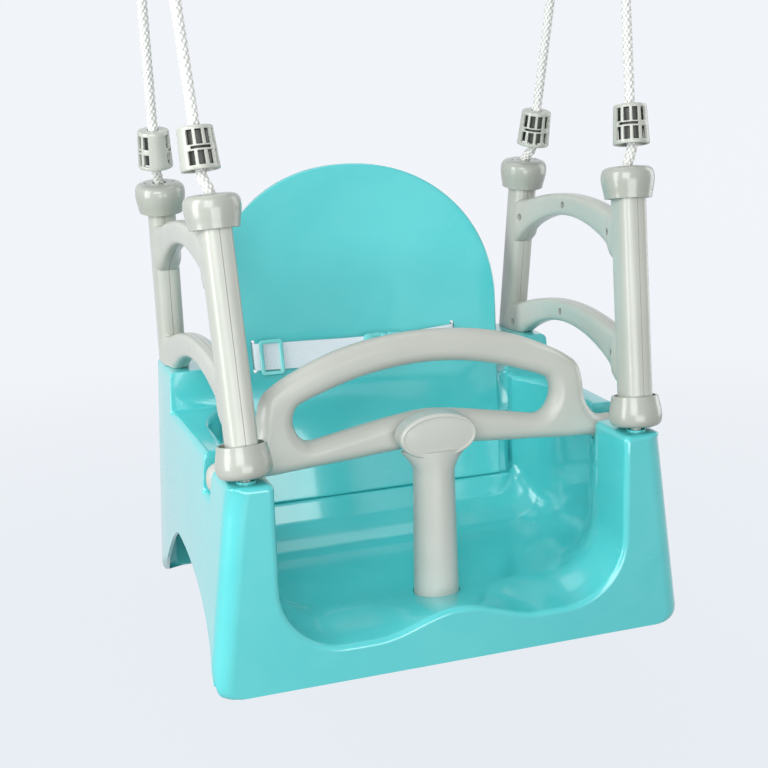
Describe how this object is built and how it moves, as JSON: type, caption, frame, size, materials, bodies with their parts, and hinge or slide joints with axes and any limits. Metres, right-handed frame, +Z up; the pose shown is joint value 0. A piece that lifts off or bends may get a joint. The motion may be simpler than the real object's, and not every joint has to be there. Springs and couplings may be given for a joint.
{
  "type": "child swing seat",
  "caption": "Bucket swing seat for a small child: moulded tub with backrest and lap belt, lift-up front guard on a centre column, and side frames hung on ropes.",
  "frame": {"origin": "midway between the two rings, on the axis that the seat swings about", "axes": "+Z up, -Y the way the child faces, +X to the right as seen from the front"},
  "size_m": [0.466, 0.3064, 0.8635],
  "materials": {
    "turquoise_plastic": "glossy injection-moulded polypropylene",
    "frame_grey_plastic": "semi-gloss injection-moulded polypropylene",
    "guard_grey_plastic": "satin injection-moulded polypropylene",
    "column_grey_plastic": "semi-gloss injection-moulded polypropylene",
    "rope": "twisted polypropylene rope",
    "webbing": "woven polyester webbing",
    "steel": "zinc-plated"
  },
  "bodies": {
    "hanger": {"ring_left": "steel", "ring_right": "steel"},
    "seat": {"seat_tub": "turquoise_plastic", "backrest": "turquoise_plastic", "webbing_left": "webbing", "webbing_right": "webbing", "buckle_socket": "turquoise_plastic", "buckle_plug": "turquoise_plastic", "frame_left_outer": "frame_grey_plastic", "frame_left_inner": "frame_grey_plastic", "frame_screw_left_1": "steel", "frame_screw_left_2": "steel", "frame_screw_left_3": "steel", "frame_screw_left_4": "steel", "frame_screw_left_5": "steel", "frame_screw_left_6": "steel", "cap_left_front": "frame_grey_plastic", "cap_left_rear": "frame_grey_plastic", "cup_left": "frame_grey_plastic", "rope_left": "rope", "washer_left_front": "steel", "knot_left_front": "rope", "washer_left_rear": "steel", "knot_left_rear": "rope", "thimble_left": "frame_grey_plastic", "frame_right_outer": "frame_grey_plastic", "frame_right_inner": "frame_grey_plastic", "frame_screw_right_1": "steel", "frame_screw_right_2": "steel", "frame_screw_right_3": "steel", "frame_screw_right_4": "steel", "frame_screw_right_5": "steel", "frame_screw_right_6": "steel", "cap_right_front": "frame_grey_plastic", "cap_right_rear": "frame_grey_plastic", "cup_right": "frame_grey_plastic", "rope_right": "rope", "washer_right_front": "steel", "knot_right_front": "rope", "washer_right_rear": "steel", "knot_right_rear": "rope", "thimble_right": "frame_grey_plastic"},
    "guard": {"guard_front": "guard_grey_plastic", "guard_rear": "guard_grey_plastic", "column_front": "column_grey_plastic", "column_rear": "column_grey_plastic", "guard_screw_1": "steel", "guard_screw_2": "steel", "guard_screw_3": "steel", "guard_screw_4": "steel"},
    "slider": {"belt_slider": "turquoise_plastic"},
    "adjuster_left_front": {"adjuster_left_front_a": "frame_grey_plastic", "adjuster_left_front_b": "frame_grey_plastic"},
    "adjuster_left_rear": {"adjuster_left_rear_a": "frame_grey_plastic", "adjuster_left_rear_b": "frame_grey_plastic"},
    "adjuster_right_front": {"adjuster_right_front_a": "frame_grey_plastic", "adjuster_right_front_b": "frame_grey_plastic"},
    "adjuster_right_rear": {"adjuster_right_rear_a": "frame_grey_plastic", "adjuster_right_rear_b": "frame_grey_plastic"}
  },
  "joints": [
    {"name": "swing", "type": "hinge", "parent": "hanger", "child": "seat", "pos_m": [0, 0, 0], "axis": [1, 0, 0], "range_deg": [-45, 45]},
    {"name": "guard_lift", "type": "slide", "parent": "seat", "child": "guard", "axis": [0, 0, 1], "range_m": [0, 0.035]},
    {"name": "slider_slide", "type": "slide", "parent": "seat", "child": "slider", "axis": [0.9994, 0, -0.0354], "range_m": [0, 0.04]},
    {"name": "adjuster_left_front_slide", "type": "slide", "parent": "seat", "child": "adjuster_left_front", "axis": [-0.0498, 0.1965, 0.9792], "range_m": [-0.008, 0.2]},
    {"name": "adjuster_left_rear_slide", "type": "slide", "parent": "seat", "child": "adjuster_left_rear", "axis": [-0.0465, -0.1934, 0.98], "range_m": [-0.008, 0.2]},
    {"name": "adjuster_right_front_slide", "type": "slide", "parent": "seat", "child": "adjuster_right_front", "axis": [0.0498, 0.1965, 0.9792], "range_m": [-0.008, 0.2]},
    {"name": "adjuster_right_rear_slide", "type": "slide", "parent": "seat", "child": "adjuster_right_rear", "axis": [0.0465, -0.1934, 0.98], "range_m": [-0.008, 0.2]}
  ]
}
